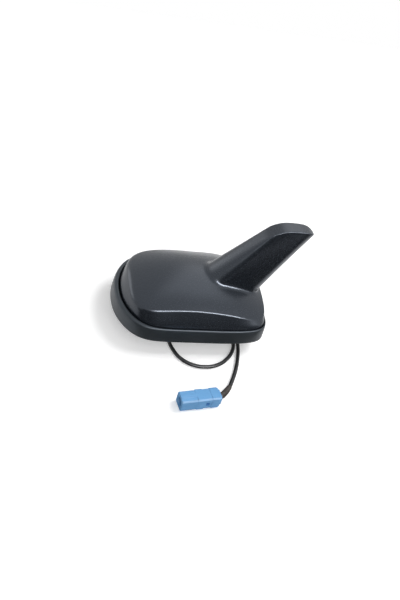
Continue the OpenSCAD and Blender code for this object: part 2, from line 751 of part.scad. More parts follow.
module plug_block(from, to, w, h) {
    translate([from, 0, 0])
        rotate([90, 0, 90])
            linear_extrude(to - from)
                polygon([
                    [-w / 2 + 1, -h / 2], [w / 2 - 1, -h / 2], [w / 2, -h / 2 + 1], [w / 2, h / 2 - 1],
                    [w / 2 - 1, h / 2], [-w / 2 + 1, h / 2], [-w / 2, h / 2 - 1], [-w / 2, -h / 2 + 1]]);
}

socket_depth = 13;
band = 0.5;
rib_w = 2.8;
lock_x = 9;
lock_l = 2.6;
module plug_housing() {
    color("#4f8fd0")
    at_plug()
        difference() {
            union() {
                plug_block(1.2, plug_l, plug_w - band, plug_h - band);
                plug_block(0, 2, plug_w - 2.4, plug_h - 2.4);
                plug_block(2, 7.5, plug_w, plug_h);
                plug_block(13, 18, plug_w, plug_h);
                translate([18, -rib_w / 2, plug_h / 2 - 1]) cube([plug_l - 18, rib_w, 1]);
            }
            translate([plug_l - socket_depth, 0, 0])
                rotate([0, 90, 0]) cylinder(d = socket_d, h = socket_depth + 1);
            translate([lock_x, -plug_w, -1.5]) cube([lock_l, 2 * plug_w, 3]);
        }
}

// The secondary lock slides through the housing from side to side, behind the contact.
module plug_lock() {
    color("#3f79b8")
    at_plug()
        translate([lock_x + gap / 2, -plug_w / 2 + 0.2, -1.5 + gap / 2])
            cube([lock_l - gap, plug_w - 0.4, 3 - gap]);
}

contact_d = 3.6;
contact_out = 3;
module contact_shell() {
    color("#c9b676")
    at_plug()
        translate([plug_l - socket_depth, 0, 0])
            rotate([0, 90, 0])
                difference() {
                    union() {
                        cylinder(d = contact_d, h = socket_depth - contact_out);
                        cylinder(d = socket_d - 0.2, h = 2);
                    }
                    translate([0, 0, 2]) cylinder(d = contact_d - 0.8, h = socket_depth);
                }
}

module contact_insulator() {
    color("#efece2")
    at_plug()
        translate([plug_l - socket_depth + 2, 0, 0])
            rotate([0, 90, 0])
                difference() {
                    cylinder(d = contact_d - 1, h = 5);
                    translate([0, 0, -1]) cylinder(d = 1.1, h = 7, $fn = 24);
                }
}

module centre_contact() {
    color("#d8b95a")
    at_plug()
        translate([plug_l - socket_depth + 2, 0, 0])
            rotate([0, 90, 0]) cylinder(d = 0.9, h = socket_depth - contact_out - 3, $fn = 24);
}

cover();
gasket();
base_plate();
cover_seal();
circuit_board();
patch_antenna();
patch_tape();
feed_pin();
shield_can();
board_chips();
fin_radiator();
radiator_holder();
contact_spring();
board_screws();
cover_screws();
neck_grommet();
inner_lead();
toothed_washer();
roof_nut();
antenna_lead();
lead_sleeve();
plug_housing();
plug_lock();
contact_shell();
contact_insulator();
centre_contact();
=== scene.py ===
# Shark fin roof aerial. Front is -X and the roof is the plane z = 0. The settings are in mm,
# apart from the studio's, which are in metres.
import math

import bmesh
import bpy
from mathutils import Matrix, Vector


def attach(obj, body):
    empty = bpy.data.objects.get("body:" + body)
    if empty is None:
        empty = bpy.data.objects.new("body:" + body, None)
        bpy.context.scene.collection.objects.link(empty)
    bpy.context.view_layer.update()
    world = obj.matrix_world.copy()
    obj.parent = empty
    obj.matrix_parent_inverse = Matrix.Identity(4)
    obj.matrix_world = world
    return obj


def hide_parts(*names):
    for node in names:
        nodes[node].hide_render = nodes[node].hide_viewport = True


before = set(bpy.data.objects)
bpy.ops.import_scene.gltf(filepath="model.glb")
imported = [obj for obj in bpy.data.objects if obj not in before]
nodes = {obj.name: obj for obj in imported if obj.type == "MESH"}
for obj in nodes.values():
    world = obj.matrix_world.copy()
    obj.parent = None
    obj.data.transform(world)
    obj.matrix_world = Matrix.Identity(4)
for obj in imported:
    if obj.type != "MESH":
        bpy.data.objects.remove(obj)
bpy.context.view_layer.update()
mm = 0.001
print("frame loaded:", len(nodes), "nodes")


# small helpers that the pieces share

def fromHex(code):
    # sRGB hex to the linear colour that the shaders take
    values = [int(code[i:i + 2], 16) / 255 for i in (0, 2, 4)]
    linear = [v / 12.92 if v <= 0.04045 else ((v + 0.055) / 1.055) ** 2.4 for v in values]
    return (*linear, 1.0)


def mix(a, b, share):
    return a + (b - a) * share


def signedPower(value, power):
    return math.copysign(abs(value) ** power, value)


def newPiece(name, bm, smoothAngle=None):
    # recalculates the normals of a finished bmesh and links it as an object at the origin
    bmesh.ops.remove_doubles(bm, verts=bm.verts, dist=0.001 * mm)
    bmesh.ops.recalc_face_normals(bm, faces=bm.faces)
    mesh = bpy.data.meshes.new(name)
    bm.to_mesh(mesh)
    bm.free()
    for face in mesh.polygons:
        face.use_smooth = True
    if smoothAngle is not None:
        mesh.set_sharp_from_angle(angle=math.radians(smoothAngle))
    piece = bpy.data.objects.new(name, mesh)
    bpy.context.scene.collection.objects.link(piece)
    return piece


def addSubdivision(piece, levels):
    modifier = piece.modifiers.new("Subdivision", "SUBSURF")
    modifier.levels = modifier.render_levels = levels


def evenRing(outline, count):
    # count points at even steps along a closed outline, the first one where the outline starts
    lengths = [0.0]
    for a, b in zip(outline, outline[1:] + outline[:1]):
        lengths.append(lengths[-1] + math.dist(a, b))
    ring, at = [], 0
    for i in range(count):
        want = lengths[-1] * i / count
        while lengths[at + 1] < want:
            at += 1
        share = (want - lengths[at]) / (lengths[at + 1] - lengths[at])
        a, b = outline[at], outline[(at + 1) % len(outline)]
        ring.append(tuple(mix(u, v, share) for u, v in zip(a, b)))
    return ring


def loftRings(bm, rings):
    # starts from a circle and extrudes it through the rings, each a list of points in mm
    count = len(rings[0])
    loop = bmesh.ops.create_circle(bm, cap_ends=False, segments=count, radius=0.01)["verts"]
    for vert, point in zip(loop, rings[0]):
        vert.co = Vector(point) * mm
    loops = [loop]
    for ring in rings[1:]:
        edges = [bm.edges.get((loop[i], loop[(i + 1) % count])) for i in range(count)]
        made = bmesh.ops.extrude_edge_only(bm, edges=edges)["geom"]
        fresh = {v for v in made if isinstance(v, bmesh.types.BMVert)}
        step = []
        for vert in loop:
            reached = [edge.other_vert(vert) for edge in vert.link_edges]
            step.append(next(other for other in reached if other in fresh))
        for vert, point in zip(step, ring):
            vert.co = Vector(point) * mm
        loop = step
        loops.append(loop)
    return loops


def loopEdges(bm, loop):
    return [bm.edges.get((loop[i], loop[(i + 1) % len(loop)])) for i in range(len(loop))]


# camera: the photograph's angle, worked out on its 400 x 600 frame

view = {
    "azimuth": -20.9, "elevation": 42.83, "roll": 17.11,
    "distance": 600,         # mm from the origin
    "pixelsPerMm": 1.339,    # at the origin
    "originX": 184.523, "originY": 303.134,
    "frameWidth": 400, "frameHeight": 600,
}


def placeCamera(s):
    az, el, roll = (math.radians(s[k]) for k in ("azimuth", "elevation", "roll"))
    right = Vector((math.cos(az), math.sin(az), 0))
    back = Vector((math.sin(az) * math.cos(el), -math.cos(az) * math.cos(el), math.sin(el)))
    up = back.cross(right)
    sideways = math.cos(roll) * right + math.sin(roll) * up
    upwards = back.cross(sideways)
    data = bpy.data.cameras.new("camera")
    data.sensor_fit = "HORIZONTAL"
    data.sensor_width = 36
    data.lens = s["pixelsPerMm"] * s["distance"] / s["frameWidth"] * data.sensor_width
    data.shift_x = (s["frameWidth"] / 2 - s["originX"]) / s["frameWidth"]
    data.shift_y = (s["originY"] - s["frameHeight"] / 2) / s["frameWidth"]
    data.clip_start = 0.01
    camera = bpy.data.objects.new("camera", data)
    turn = Matrix((sideways, upwards, back)).transposed().to_4x4()
    camera.matrix_world = Matrix.Translation(back * s["distance"] * mm) @ turn
    bpy.context.scene.collection.objects.link(camera)
    bpy.context.scene.camera = camera


placeCamera(view)
print("camera placed")


# materials

def addNode(tree, kind, settings=None, inputs=None):
    # adds one node, with its settings and with values or links for its inputs
    node = tree.nodes.new(kind)
    for name, value in (settings or {}).items():
        setattr(node, name, value)
    for name, value in (inputs or {}).items():
        if isinstance(value, bpy.types.NodeSocket):
            tree.links.new(value, node.inputs[name])
        else:
            node.inputs[name].default_value = value
    return node


def newMaterial(name):
    material = bpy.data.materials.new(name)
    material.use_nodes = True
    tree = material.node_tree
    return material, tree, tree.nodes["Principled BSDF"]


def grainMaterial(name, s):
    # moulded, cast or fired stuff: a slow change of colour, and a grain in the relief and the gloss
    material, tree, shader = newMaterial(name)
    coordinates = addNode(tree, "ShaderNodeTexCoord").outputs["Object"]
    cloud = addNode(tree, "ShaderNodeTexNoise", {}, {
        "Vector": coordinates, "Scale": 1 / (s["cloudMm"] * mm), "Detail": 3.0, "Roughness": 0.55})
    shade = addNode(tree, "ShaderNodeMix", {"data_type": "RGBA"}, {
        "Factor": cloud.outputs["Fac"], "A": fromHex(s["dark"]), "B": fromHex(s["light"])})
    grain = addNode(tree, "ShaderNodeTexNoise", {}, {
        "Vector": coordinates, "Scale": 1 / (s["grainMm"] * mm), "Detail": 2.0, "Roughness": 0.6})
    gloss = addNode(tree, "ShaderNodeMapRange", {}, {
        "Value": grain.outputs["Fac"], "From Min": 0.3, "From Max": 0.7,
        "To Min": s["roughness"] - s["roughnessSpan"], "To Max": s["roughness"] + s["roughnessSpan"]})
    relief = addNode(tree, "ShaderNodeBump", {}, {
        "Height": grain.outputs["Fac"], "Distance": s["grainDepthMm"] * mm, "Strength": 1.0})
    tree.links.new(shade.outputs["Result"], shader.inputs["Base Color"])
    tree.links.new(gloss.outputs["Result"], shader.inputs["Roughness"])
    tree.links.new(relief.outputs["Normal"], shader.inputs["Normal"])
    shader.inputs["Metallic"].default_value = s.get("metallic", 0.0)
    shader.inputs["IOR"].default_value = s.get("ior", 1.5)
    shader.inputs["Specular IOR Level"].default_value = s.get("specular", 0.5)
    shader.inputs["Specular Tint"].default_value = fromHex(s.get("tint", "ffffff"))
    return material


# The real grain of the moulded plastics is 0.1 to 0.2 mm and wouldn't show, so theirs is coarser.
# tint is the colour of the gloss: a little cool on the cover and the skirt, as under daylight lamps.
finishes = {
    # fine spark-eroded texture on dark grey ASA, which breaks up the gloss evenly
    "Satin moulded ASA": dict(
        dark="171b20", light="1c2026", cloudMm=40, grainMm=0.45, grainDepthMm=0.0015,
        roughness=0.26, roughnessSpan=0.02, ior=1.5, specular=0.6, tint="e6f0ff"),
    # EPDM rubber off a plain tool: matt, a little dusty and uneven
    "Moulded EPDM rubber": dict(
        dark="1f2427", light="272c2f", cloudMm=12, grainMm=0.6, grainDepthMm=0.012,
        roughness=0.42, roughnessSpan=0.05, ior=1.5, specular=0.5, tint="e6f0ff"),
    # soft rubber of the seal and the grommet: near black and quite matt
    "Soft black rubber": dict(
        dark="171819", light="1e1f20", cloudMm=8, grainMm=0.5, grainDepthMm=0.012,
        roughness=0.62, roughnessSpan=0.06, ior=1.5),
    # zinc plated steel of the nut, the washer and the screws: bright, with a soft bloom
    "Zinc plated steel": dict(
        dark="a9adb1", light="bfc2c4", cloudMm=4, grainMm=0.3, grainDepthMm=0.003,
        roughness=0.30, roughnessSpan=0.05, metallic=1.0),
    # thinly tinned brass of the contacts and the radiator: a pale yellow metal with a soft gloss
    "Tinned brass": dict(
        dark="b99a58", light="cdb170", cloudMm=5, grainMm=0.3, grainDepthMm=0.002,
        roughness=0.28, roughnessSpan=0.05, metallic=1.0),
    # green solder mask over the board's copper: glossy and slightly wavy
    "Green solder mask": dict(
        dark="1f5a31", light="2a6b3b", cloudMm=3, grainMm=0.8, grainDepthMm=0.004,
        roughness=0.28, roughnessSpan=0.05, ior=1.5),
    # filled black epoxy of the chips: matt, with a fine dry grain
    "Black epoxy": dict(
        dark="1c1d1f", light="242527", cloudMm=2, grainMm=0.15, grainDepthMm=0.004,
        roughness=0.55, roughnessSpan=0.05, ior=1.5),
    # fired ceramic of the patch: pale tan and faintly speckled
    "Fired ceramic": dict(
        dark="bda679", light="d0bb90", cloudMm=1.2, grainMm=0.2, grainDepthMm=0.004,
        roughness=0.50, roughnessSpan=0.06, ior=1.6),
    # adhesive foam tape under the patch: off-white, dull and full of small cells
    "Foam tape": dict(
        dark="cfcfc8", light="dcdcd6", cloudMm=1.5, grainMm=0.3, grainDepthMm=0.03,
        roughness=0.75, roughnessSpan=0.05, ior=1.45),
    # natural nylon of the holder and the insulator: milky, warm white with a slight gloss
    "White nylon": dict(
        dark="dad7cc", light="e6e3da", cloudMm=6, grainMm=0.4, grainDepthMm=0.004,
        roughness=0.42, roughnessSpan=0.05, ior=1.53),
    # light blue PBT of the plug: even colour, a slight sheen from a polished tool
    "Light blue PBT": dict(
        dark="6099cb", light="6ba3d4", cloudMm=5, grainMm=0.25, grainDepthMm=0.002,
        roughness=0.52, roughnessSpan=0.05, ior=1.55, specular=0.4),
    # the plug's lock, of a darker blue PBT from a polished tool
    "Blue PBT": dict(
        dark="2f6cb0", light="3874b8", cloudMm=4, grainMm=0.25, grainDepthMm=0.002,
        roughness=0.36, roughnessSpan=0.04, ior=1.55),
}
materials = {name: grainMaterial(name, settings) for name, settings in finishes.items()}


def jacketMaterial(name, s):
    # extruded or shrunk jacket: a soft uneven ripple in the relief and a slight change of shade
    material, tree, shader = newMaterial(name)
    coordinates = addNode(tree, "ShaderNodeTexCoord").outputs["Object"]
    noise = addNode(tree, "ShaderNodeTexNoise", {}, {
        "Vector": coordinates, "Scale": 1 / (s["rippleMm"] * mm), "Detail": 2.0})
    shade = addNode(tree, "ShaderNodeMix", {"data_type": "RGBA"}, {
        "Factor": noise.outputs["Fac"], "A": fromHex(s["dark"]), "B": fromHex(s["light"])})
    relief = addNode(tree, "ShaderNodeBump", {}, {
        "Height": noise.outputs["Fac"], "Distance": s["rippleDepthMm"] * mm, "Strength": 1.0})
    tree.links.new(shade.outputs["Result"], shader.inputs["Base Color"])
    tree.links.new(relief.outputs["Normal"], shader.inputs["Normal"])
    shader.inputs["Roughness"].default_value = s["roughness"]
    return material


jackets = {
    # extruded PVC of the lead: black and satin, hardly rippled
    "PVC cable jacket": dict(
        dark="17181a", light="1d1e20", rippleMm=1.5, rippleDepthMm=0.02, roughness=0.34),
    # polyolefin that heat has shrunk on to the lead: brownish black, a little lumpy and duller
    "Shrunk polyolefin": dict(
        dark="2b2623", light="3a332e", rippleMm=1.2, rippleDepthMm=0.10, roughness=0.46),
}
for name, settings in jackets.items():
    materials[name] = jacketMaterial(name, settings)


def threadMaterial(s):
    # die cast zinc alloy: grey, with the slight mottling of the flow in the die, and with the neck's
    # thread as rings at the thread's pitch, below the collar only
    material, tree, shader = newMaterial("Die cast zinc with thread")
    coordinates = addNode(tree, "ShaderNodeTexCoord").outputs["Object"]
    split = addNode(tree, "ShaderNodeSeparateXYZ", {}, {"Vector": coordinates})
    across = addNode(tree, "ShaderNodeCombineXYZ", {}, {
        "X": split.outputs["X"], "Y": split.outputs["Y"]})
    radius = addNode(tree, "ShaderNodeVectorMath", {"operation": "LENGTH"}, {
        0: across.outputs["Vector"]})
    onNeck = addNode(tree, "ShaderNodeMath", {"operation": "LESS_THAN"}, {
        0: radius.outputs["Value"], 1: s["neckMm"] * mm})
    belowCollar = addNode(tree, "ShaderNodeMath", {"operation": "LESS_THAN"}, {
        0: split.outputs["Z"], 1: s["collarEndMm"] * mm})
    mask = addNode(tree, "ShaderNodeMath", {"operation": "MULTIPLY"}, {
        0: onNeck.outputs["Value"], 1: belowCollar.outputs["Value"]})
    turns = addNode(tree, "ShaderNodeMath", {"operation": "MULTIPLY"}, {
        0: split.outputs["Z"], 1: 2 * math.pi / (s["pitchMm"] * mm)})
    wave = addNode(tree, "ShaderNodeMath", {"operation": "SINE"}, {0: turns.outputs["Value"]})
    thread = addNode(tree, "ShaderNodeMath", {"operation": "MULTIPLY"}, {
        0: wave.outputs["Value"], 1: mask.outputs["Value"]})
    grain = addNode(tree, "ShaderNodeTexNoise", {}, {
        "Vector": coordinates, "Scale": 1 / (s["grainMm"] * mm), "Detail": 2.0})
    shade = addNode(tree, "ShaderNodeMix", {"data_type": "RGBA"}, {
        "Factor": grain.outputs["Fac"], "A": fromHex(s["dark"]), "B": fromHex(s["light"])})
    height = addNode(tree, "ShaderNodeMath", {"operation": "MULTIPLY_ADD"}, {
        0: thread.outputs["Value"], 1: s["threadShare"], 2: grain.outputs["Fac"]})
    relief = addNode(tree, "ShaderNodeBump", {}, {
        "Height": height.outputs["Value"], "Distance": s["grainDepthMm"] * mm, "Strength": 1.0})
    tree.links.new(shade.outputs["Result"], shader.inputs["Base Color"])
    tree.links.new(relief.outputs["Normal"], shader.inputs["Normal"])
    shader.inputs["Metallic"].default_value = 1.0
    shader.inputs["Roughness"].default_value = s["roughness"]
    return material


materials["Die cast zinc with thread"] = threadMaterial(dict(
    dark="8d9093", light="a4a7aa", grainMm=0.6, grainDepthMm=0.02, roughness=0.45,
    pitchMm=1.0, threadShare=9.0,      # the thread's height over the grain's
    neckMm=8.5, collarEndMm=-3.1))     # the thread is inside this radius and below this height
print("materials made:", len(materials))


# lead and sleeve

lead = {
    "diameter": 2.8,
    "route": [
        (15, 0, -10.7), (19, -1, -11.2), (24, -4, -11.6), (30, -11, -11.6), (34, -19, -11.6),
        (35.5, -28, -11.6), (33, -36.5, -11.6), (27, -44.5, -11.6), (19, -50, -11.6),
        (10, -52, -11.6), (1, -50.5, -11.6), (-7, -45, -11.6), (-12, -36, -11.6), (-14, -26, -11.6),
        (-14, -14, -11.6), (-12, -2, -11.6), (-5, 9, -11.6), (7, 14, -11.6), (20, 12.5, -11.6),
        (31, 5, -11.6), (37.5, -7, -11.6), (39.5, -20, -11.6), (38.7, -31, -11.6), (36, -43, -11.6),
        (31.8, -55, -11.6), (27.3, -64.5, -11.6), (24, -70.5, -11.2),
    ],
}
sleeve = {
    "diameter": 4.4,
    "route": [
        (24, -70.5, -11.2), (20.5, -75, -10.4), (17, -79, -9.2), (14.8, -81.5, -7.2),
        (13.5, -81.7, -7.2),
    ],
    "sides": 20, "steps": 5,                          # round it, and from point to point of its route
    "grip": 0.80, "gripLength": 0.25, "wall": 0.2,    # shares: where it has shrunk on to the lead
    "ripple": 0.02, "rippleTurn": 1.9,
}


def makeLead():
    data = bpy.data.curves.new("antenna_lead_jacket", "CURVE")
    data.dimensions = "3D"
    data.bevel_depth = lead["diameter"] / 2 * mm
    data.bevel_resolution = 5
    data.resolution_u = 8
    spline = data.splines.new("BEZIER")
    points = lead["route"] + sleeve["route"][1:]
    spline.bezier_points.add(len(points) - 1)
    for knot, point in zip(spline.bezier_points, points):
        knot.co = Vector(point) * mm
        knot.handle_left_type = knot.handle_right_type = "AUTO"
    data.use_fill_caps = True
    piece = bpy.data.objects.new("lead_jacket", data)
    bpy.context.scene.collection.objects.link(piece)
    piece.data.materials.append(materials["PVC cable jacket"])
    return piece


def smoothRoute(points, parts):
    # a Catmull-Rom curve through the points
    route = []
    for i in range(len(points) - 1):
        b, c = Vector(points[i]), Vector(points[i + 1])
        a = Vector(points[i - 1]) if i else 2 * b - c
        d = Vector(points[i + 2]) if i < len(points) - 2 else 2 * c - b
        for k in range(parts):
            s = k / parts
            route.append(0.5 * (2 * b + (c - a) * s + (2 * a - 5 * b + 4 * c - d) * s ** 2
                                + (3 * b - a - 3 * c + d) * s ** 3))
    return route + [Vector(points[-1])]


def makeSleeve():
    # a shrunk tube over the last of the lead, which grips it at its mouth and swells to the plug
    s = sleeve
    route = smoothRoute(s["route"], s["steps"])
    rings = []
    for i, point in enumerate(route):
        along = (route[min(i + 1, len(route) - 1)] - route[max(i - 1, 0)]).normalized()
        across = along.cross(Vector((0, 0, 1))).normalized()
        over = across.cross(along)
        share = i / (len(route) - 1)
        radius = s["diameter"] / 2 * mix(s["grip"], 1, min(1, share / s["gripLength"]))
        radius *= 1 + s["ripple"] * math.sin(i * s["rippleTurn"])
        turns = [math.tau * k / s["sides"] for k in range(s["sides"])]
        rings.append([point + radius * (math.cos(turn) * across + math.sin(turn) * over)
                      for turn in turns])
    mouth = [[mix(p, route[0], s["wall"]) for p in rings[0]]]
    bm = bmesh.new()
    loops = loftRings(bm, mouth + rings)
    bmesh.ops.contextual_create(bm, geom=loopEdges(bm, loops[0]))
    bmesh.ops.contextual_create(bm, geom=loopEdges(bm, loops[-1]))
    piece = newPiece("lead_shrink_sleeve", bm, 50)
    piece.data.materials.append(materials["Shrunk polyolefin"])
    return piece


leadPiece = makeLead()
sleevePiece = makeSleeve()
for piece, node, slotName in ((leadPiece, "antenna_lead", "lead_jacket"),
                              (sleevePiece, "lead_sleeve", "shrink_sleeve")):
    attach(piece, "root")
    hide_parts(node)
print("lead laid")


# cover: one moulding with its fin, as rings from the lower edge over the crest and up the fin

cover = {
    "columns": 96, "outlineSteps": 720, "turnSteps": 28, "sideSteps": 12,
    # lower edge and crest line, seen from above, and the powers of their corners
    "edgeFront": -50.6, "edgeRear": 54.6, "edgeHalf": 37.7,
    "crestFront": 5.0, "crestRear": 0.7, "crestSide": 5.5,
    "frontPower": 2.4, "rearPower": 6.8, "crestPower": 4.5,
    "footZ": 2.85, "skirtTop": 12.0, "wall": 2.4,
    # heights of the crown along the middle and of the crest
    "crownH": 34.0, "crownDrop": 14.0, "crownX": 2.0, "crownPower": 2.2,
    "crestH": 24.0, "crestDrop": 11.5, "crestShift": 11.0, "crestNose": 2.6, "noseFrom": 25.0,
    "swell": 1.0, "swellFrom": 2.0,
    # how round the crest is, along the sides and at the front, and how far the front's reaches back
    "crestRound": 1.2, "frontRound": 4.5, "frontSpread": 1.6,
    # behind the skirt the wall draws in: by lowIn at lowDrop under its top, and by footIn at the foot
    "footIn": 0.3, "lowIn": 0.15, "lowDrop": 4,
    # fin: its outline from the side, then its foot, its top and the section between them
    "finH": 79.4, "finShoulder": 8.4, "finTip": 4.1, "finPeak": 63.0, "frontBend": 2.66, "rearBend": 3.2,
    "footFront": 8.8, "footRear": 50.0, "topFront": 42.6, "topRear": 78.47,
    "footHalf": 12.0, "topHalf": 5.5, "tail": 0.92, "fillet": 2.3, "edgeRound": 1.3,
    "nosePower": 2.3, "noseShare": 0.85, "tailPower": 2.15, "footTail": 0.9, "topTail": 1.7,
    "noseIn": 1.4, "tailIn": 1.1,      # an inset draws the raked ends in by more than the sides
    "innerFillet": 0.3, "topSteps": (2.0, 3.4),    # topSteps: insets of the last rings on the fin's top
}


def planOutline(front, rear, half, frontPower=cover["frontPower"]):
    # superellipse whose power goes from the front's to the rear's, from the rear's middle round
    outline = []
    for i in range(cover["outlineSteps"]):
        t = math.tau * i / cover["outlineSteps"]
        power = 2 / mix(frontPower, cover["rearPower"], (1 + math.cos(t)) / 2)
        outline.append(((front + rear) / 2 + (rear - front) / 2 * signedPower(math.cos(t), power),
                        half * signedPower(math.sin(t), power)))
    return outline


def edgeRing(inset, z):
    c = cover
    outline = planOutline(c["edgeFront"] + inset, c["edgeRear"] - inset, c["edgeHalf"] - inset)
    return [(x, y, z) for x, y in evenRing(outline, c["columns"])]


lineFront = cover["edgeFront"] + cover["crestFront"]
lineRear = cover["edgeRear"] - cover["crestRear"]
lineHalf = cover["edgeHalf"] - cover["crestSide"]
lineMid = (lineFront + lineRear) / 2


def ridgeZ(x):
    c = cover
    return c["crownH"] - c["crownDrop"] * ((x - c["crownX"]) / (lineRear - c["crownX"])) ** 2


def swell(x):
    # the crest stands this much further out and up between the body's middle and its rear
    share = (x - cover["swellFrom"]) / (lineRear - cover["swellFrom"])
    return cover["swell"] * math.sin(math.pi * share) ** 2 if 0 < share < 1 else 0.0


def crestZ(x):
    c = cover
    top = lineMid - c["crestShift"]
    nose = lineMid - c["noseFrom"]
    return (c["crestH"] + swell(x) - c["crestDrop"] * ((x - top) / (lineRear - top)) ** 2
            - c["crestNose"] * (max(0, nose - x) / (nose - lineFront)) ** 2)


def topZ(x, y):
    return ridgeZ(x) - (ridgeZ(x) - crestZ(x)) * (abs(y) / (lineHalf + swell(x))) ** cover["crownPower"]


def finSection(front, rear, half, tail, tailL):
    # from the tail's middle along the +Y side to the nose and back
    noseL = cover["noseShare"] * half
    round1, round2 = 2 / cover["tailPower"], 2 / cover["nosePower"]
    count, steps = cover["turnSteps"], cover["sideSteps"]
    quarter = [math.pi / 2 * k / count for k in range(count + 1)]
    turn = [(math.sin(angle), math.cos(angle)) for angle in quarter]
    side = [(rear - tailL + tailL * c ** round1, tail * s ** round1) for s, c in turn]
    side += [(mix(front + noseL, rear - tailL, k / steps), mix(half, tail, (k / steps) ** 2))
             for k in range(steps - 1, 0, -1)]
    side += [(front + noseL - noseL * s ** round2, half * c ** round2) for s, c in turn]
    return side + [(x, -y) for x, y in reversed(side[1:-1])]


def finRing(level, inset):
    # the fin's section: level 0 is its foot and level 1 the edge round its top
    c = cover
    half = c["topHalf"] if level else c["footHalf"]
    front, rear = (c["topFront"], c["topRear"]) if level else (c["footFront"], c["footRear"])
    tailL = half * c["tail"] * (c["topTail"] if level else c["footTail"]) - inset
    outline = finSection(front + inset * c["noseIn"], rear - inset * c["tailIn"],
                         half - inset, half * c["tail"] - inset, tailL)
    return evenRing(outline, c["columns"])


def outlineZ(x):
    c = cover
    if x < c["finPeak"]:
        share = (c["finPeak"] - x) / (c["finPeak"] - c["topFront"])
        return c["finH"] - c["finShoulder"] * share ** c["frontBend"]
    share = (x - c["finPeak"]) / (c["topRear"] - c["finPeak"])
    return c["finH"] - c["finTip"] * share ** c["rearBend"]


def crestRadius(i):
    # crisp along the sides and soft at the front
    forward = max(0, -math.cos(math.tau * i / cover["columns"]))
    return mix(cover["crestRound"], cover["frontRound"], forward ** cover["frontSpread"])


def outward(ring, i):
    a, b = ring[i - 1], ring[(i + 1) % len(ring)]
    d = Vector((b[0] - a[0], b[1] - a[1]))
    return Vector((d.y, -d.x)).normalized()


def coverRings(inset, drop):
    # all rings of one skin, from the foot to the top of the fin
    c = cover
    count = c["columns"]
    low = edgeRing(inset, c["skirtTop"])
    outline = planOutline(lineFront + inset, lineRear - inset, lineHalf - inset, c["crestPower"])
    outline = [(x, y * (1 + swell(x) / lineHalf)) for x, y in outline]
    mid = [(x, y, topZ(x, y) - drop) for x, y in evenRing(outline, count)]
    foot = finRing(0, inset)
    top = [(x, y, outlineZ(x) - drop) for x, y in finRing(1, inset)]

    def filletRing(angle):
        ring = []
        for i, (x, y) in enumerate(foot):
            radius = c["fillet"] if inset == 0 else c["innerFillet"]
            h = radius * (1 - math.cos(angle))
            share = h / (top[i][2] - ridgeZ(x))
            q = Vector((mix(x, top[i][0], share), mix(y, top[i][1], share)))
            q += outward(foot, i) * radius * (1 - math.sin(angle))
            ring.append((q.x, q.y, topZ(q.x, q.y) - drop + h))
        return ring

    rim = filletRing(0)
    above = filletRing(math.pi / 2)
    rings = [edgeRing(inset + c["footIn"], c["footZ"]),
             edgeRing(inset + c["lowIn"], c["skirtTop"] - c["lowDrop"]), low]
    # two rings under the crest and two over it, at these multiples of its radius and at most so far
    for back, most in ((2.4, 0.85), (1.0, 0.6)):
        ring = []
        for i in range(count):
            a, b = Vector(mid[i]), Vector(low[i])
            ring.append(a.lerp(b, min(most, crestRadius(i) * back / (b - a).length)))
        rings.append(ring)
    rings.append(mid)
    for back, most in ((1.0, 0.25), (2.4, 0.6)):
        ring = []
        for i in range(count):
            dx, dy = rim[i][0] - mid[i][0], rim[i][1] - mid[i][1]
            share = min(most, crestRadius(i) * back / math.hypot(dx, dy))
            x, y = mid[i][0] + dx * share, mid[i][1] + dy * share
            ring.append((x, y, topZ(x, y) - drop))
        rings.append(ring)
    # across the crown to the fin's foot, round the fillet, up the fin and over its edge
    start = rings[-1]
    for share in (0.14, 0.28, 0.42, 0.56, 0.70, 0.84, 0.94):
        ring = []
        for i in range(count):
            x, y = mix(start[i][0], rim[i][0], share), mix(start[i][1], rim[i][1], share)
            ring.append((x, y, topZ(x, y) - drop))
        rings.append(ring)
    for degrees in (0, 30, 60, 90):
        rings.append(filletRing(math.radians(degrees)))
    for share in (0.12, 0.36, 0.62, 0.86):
        rings.append([tuple(mix(a, b, share) for a, b in zip(above[i], top[i])) for i in range(count)])
    rings.append([tuple(Vector(b).lerp(Vector(a), c["edgeRound"] / math.dist(a, b)))
                  for a, b in zip(above, top)])
    rings.append(top)
    steps = [c["edgeRound"], *c["topSteps"]]
    for into in steps[:2] if inset else steps:    # the inner skin is too narrow for the last one
        rings.append([(x, y, outlineZ(x) - drop) for x, y in finRing(1, inset + into)])
    return rings


def closeTop(bm, loop):
    # faces across the narrow opening that is left at the top, from side to side
    count = len(loop)
    for i in range(count // 2):
        corners = [loop[i], loop[i + 1], loop[count - 1 - i], loop[-i % count]]
        unique = list(dict.fromkeys(corners))
        bmesh.ops.contextual_create(bm, geom=unique)


def makeCover():
    bm = bmesh.new()
    outer = loftRings(bm, coverRings(0, 0))
    closeTop(bm, outer[-1])
    inner = loftRings(bm, coverRings(cover["wall"], cover["wall"]))
    closeTop(bm, inner[-1])
    bmesh.ops.bridge_loops(bm, edges=loopEdges(bm, outer[0]) + loopEdges(bm, inner[0]))
    piece = newPiece("cover_moulding", bm)
    addSubdivision(piece, 2)
    piece.data.materials.append(materials["Satin moulded ASA"])
    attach(piece, "root")
    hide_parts("cover")


makeCover()
print("cover moulded")


# skirt: one section taken round the outline, with a groove next to the cover

skirt = {
    "columns": 128, "front": -55.96, "rear": 55.97, "half": 39.98,
    "ledgeFront": 5.4, "ledgeSide": 2.3, "ledgeRear": 1.4,
    "floor": 2.5, "floorW": 13.5,      # the flat under the base: its thickness and width
    # the section's outside and top, up to the groove: share of the ledge inwards, and height
    "section": [
        (0.0, 0.0), (0.0, 0.35), (0.03, 3.0), (0.10, 7.0), (0.18, 9.6), (0.24, 10.6), (0.34, 11.3),
        (0.50, 11.65), (0.66, 11.75), (0.78, 11.6), (0.85, 11.25), (0.90, 10.5),
    ],
}


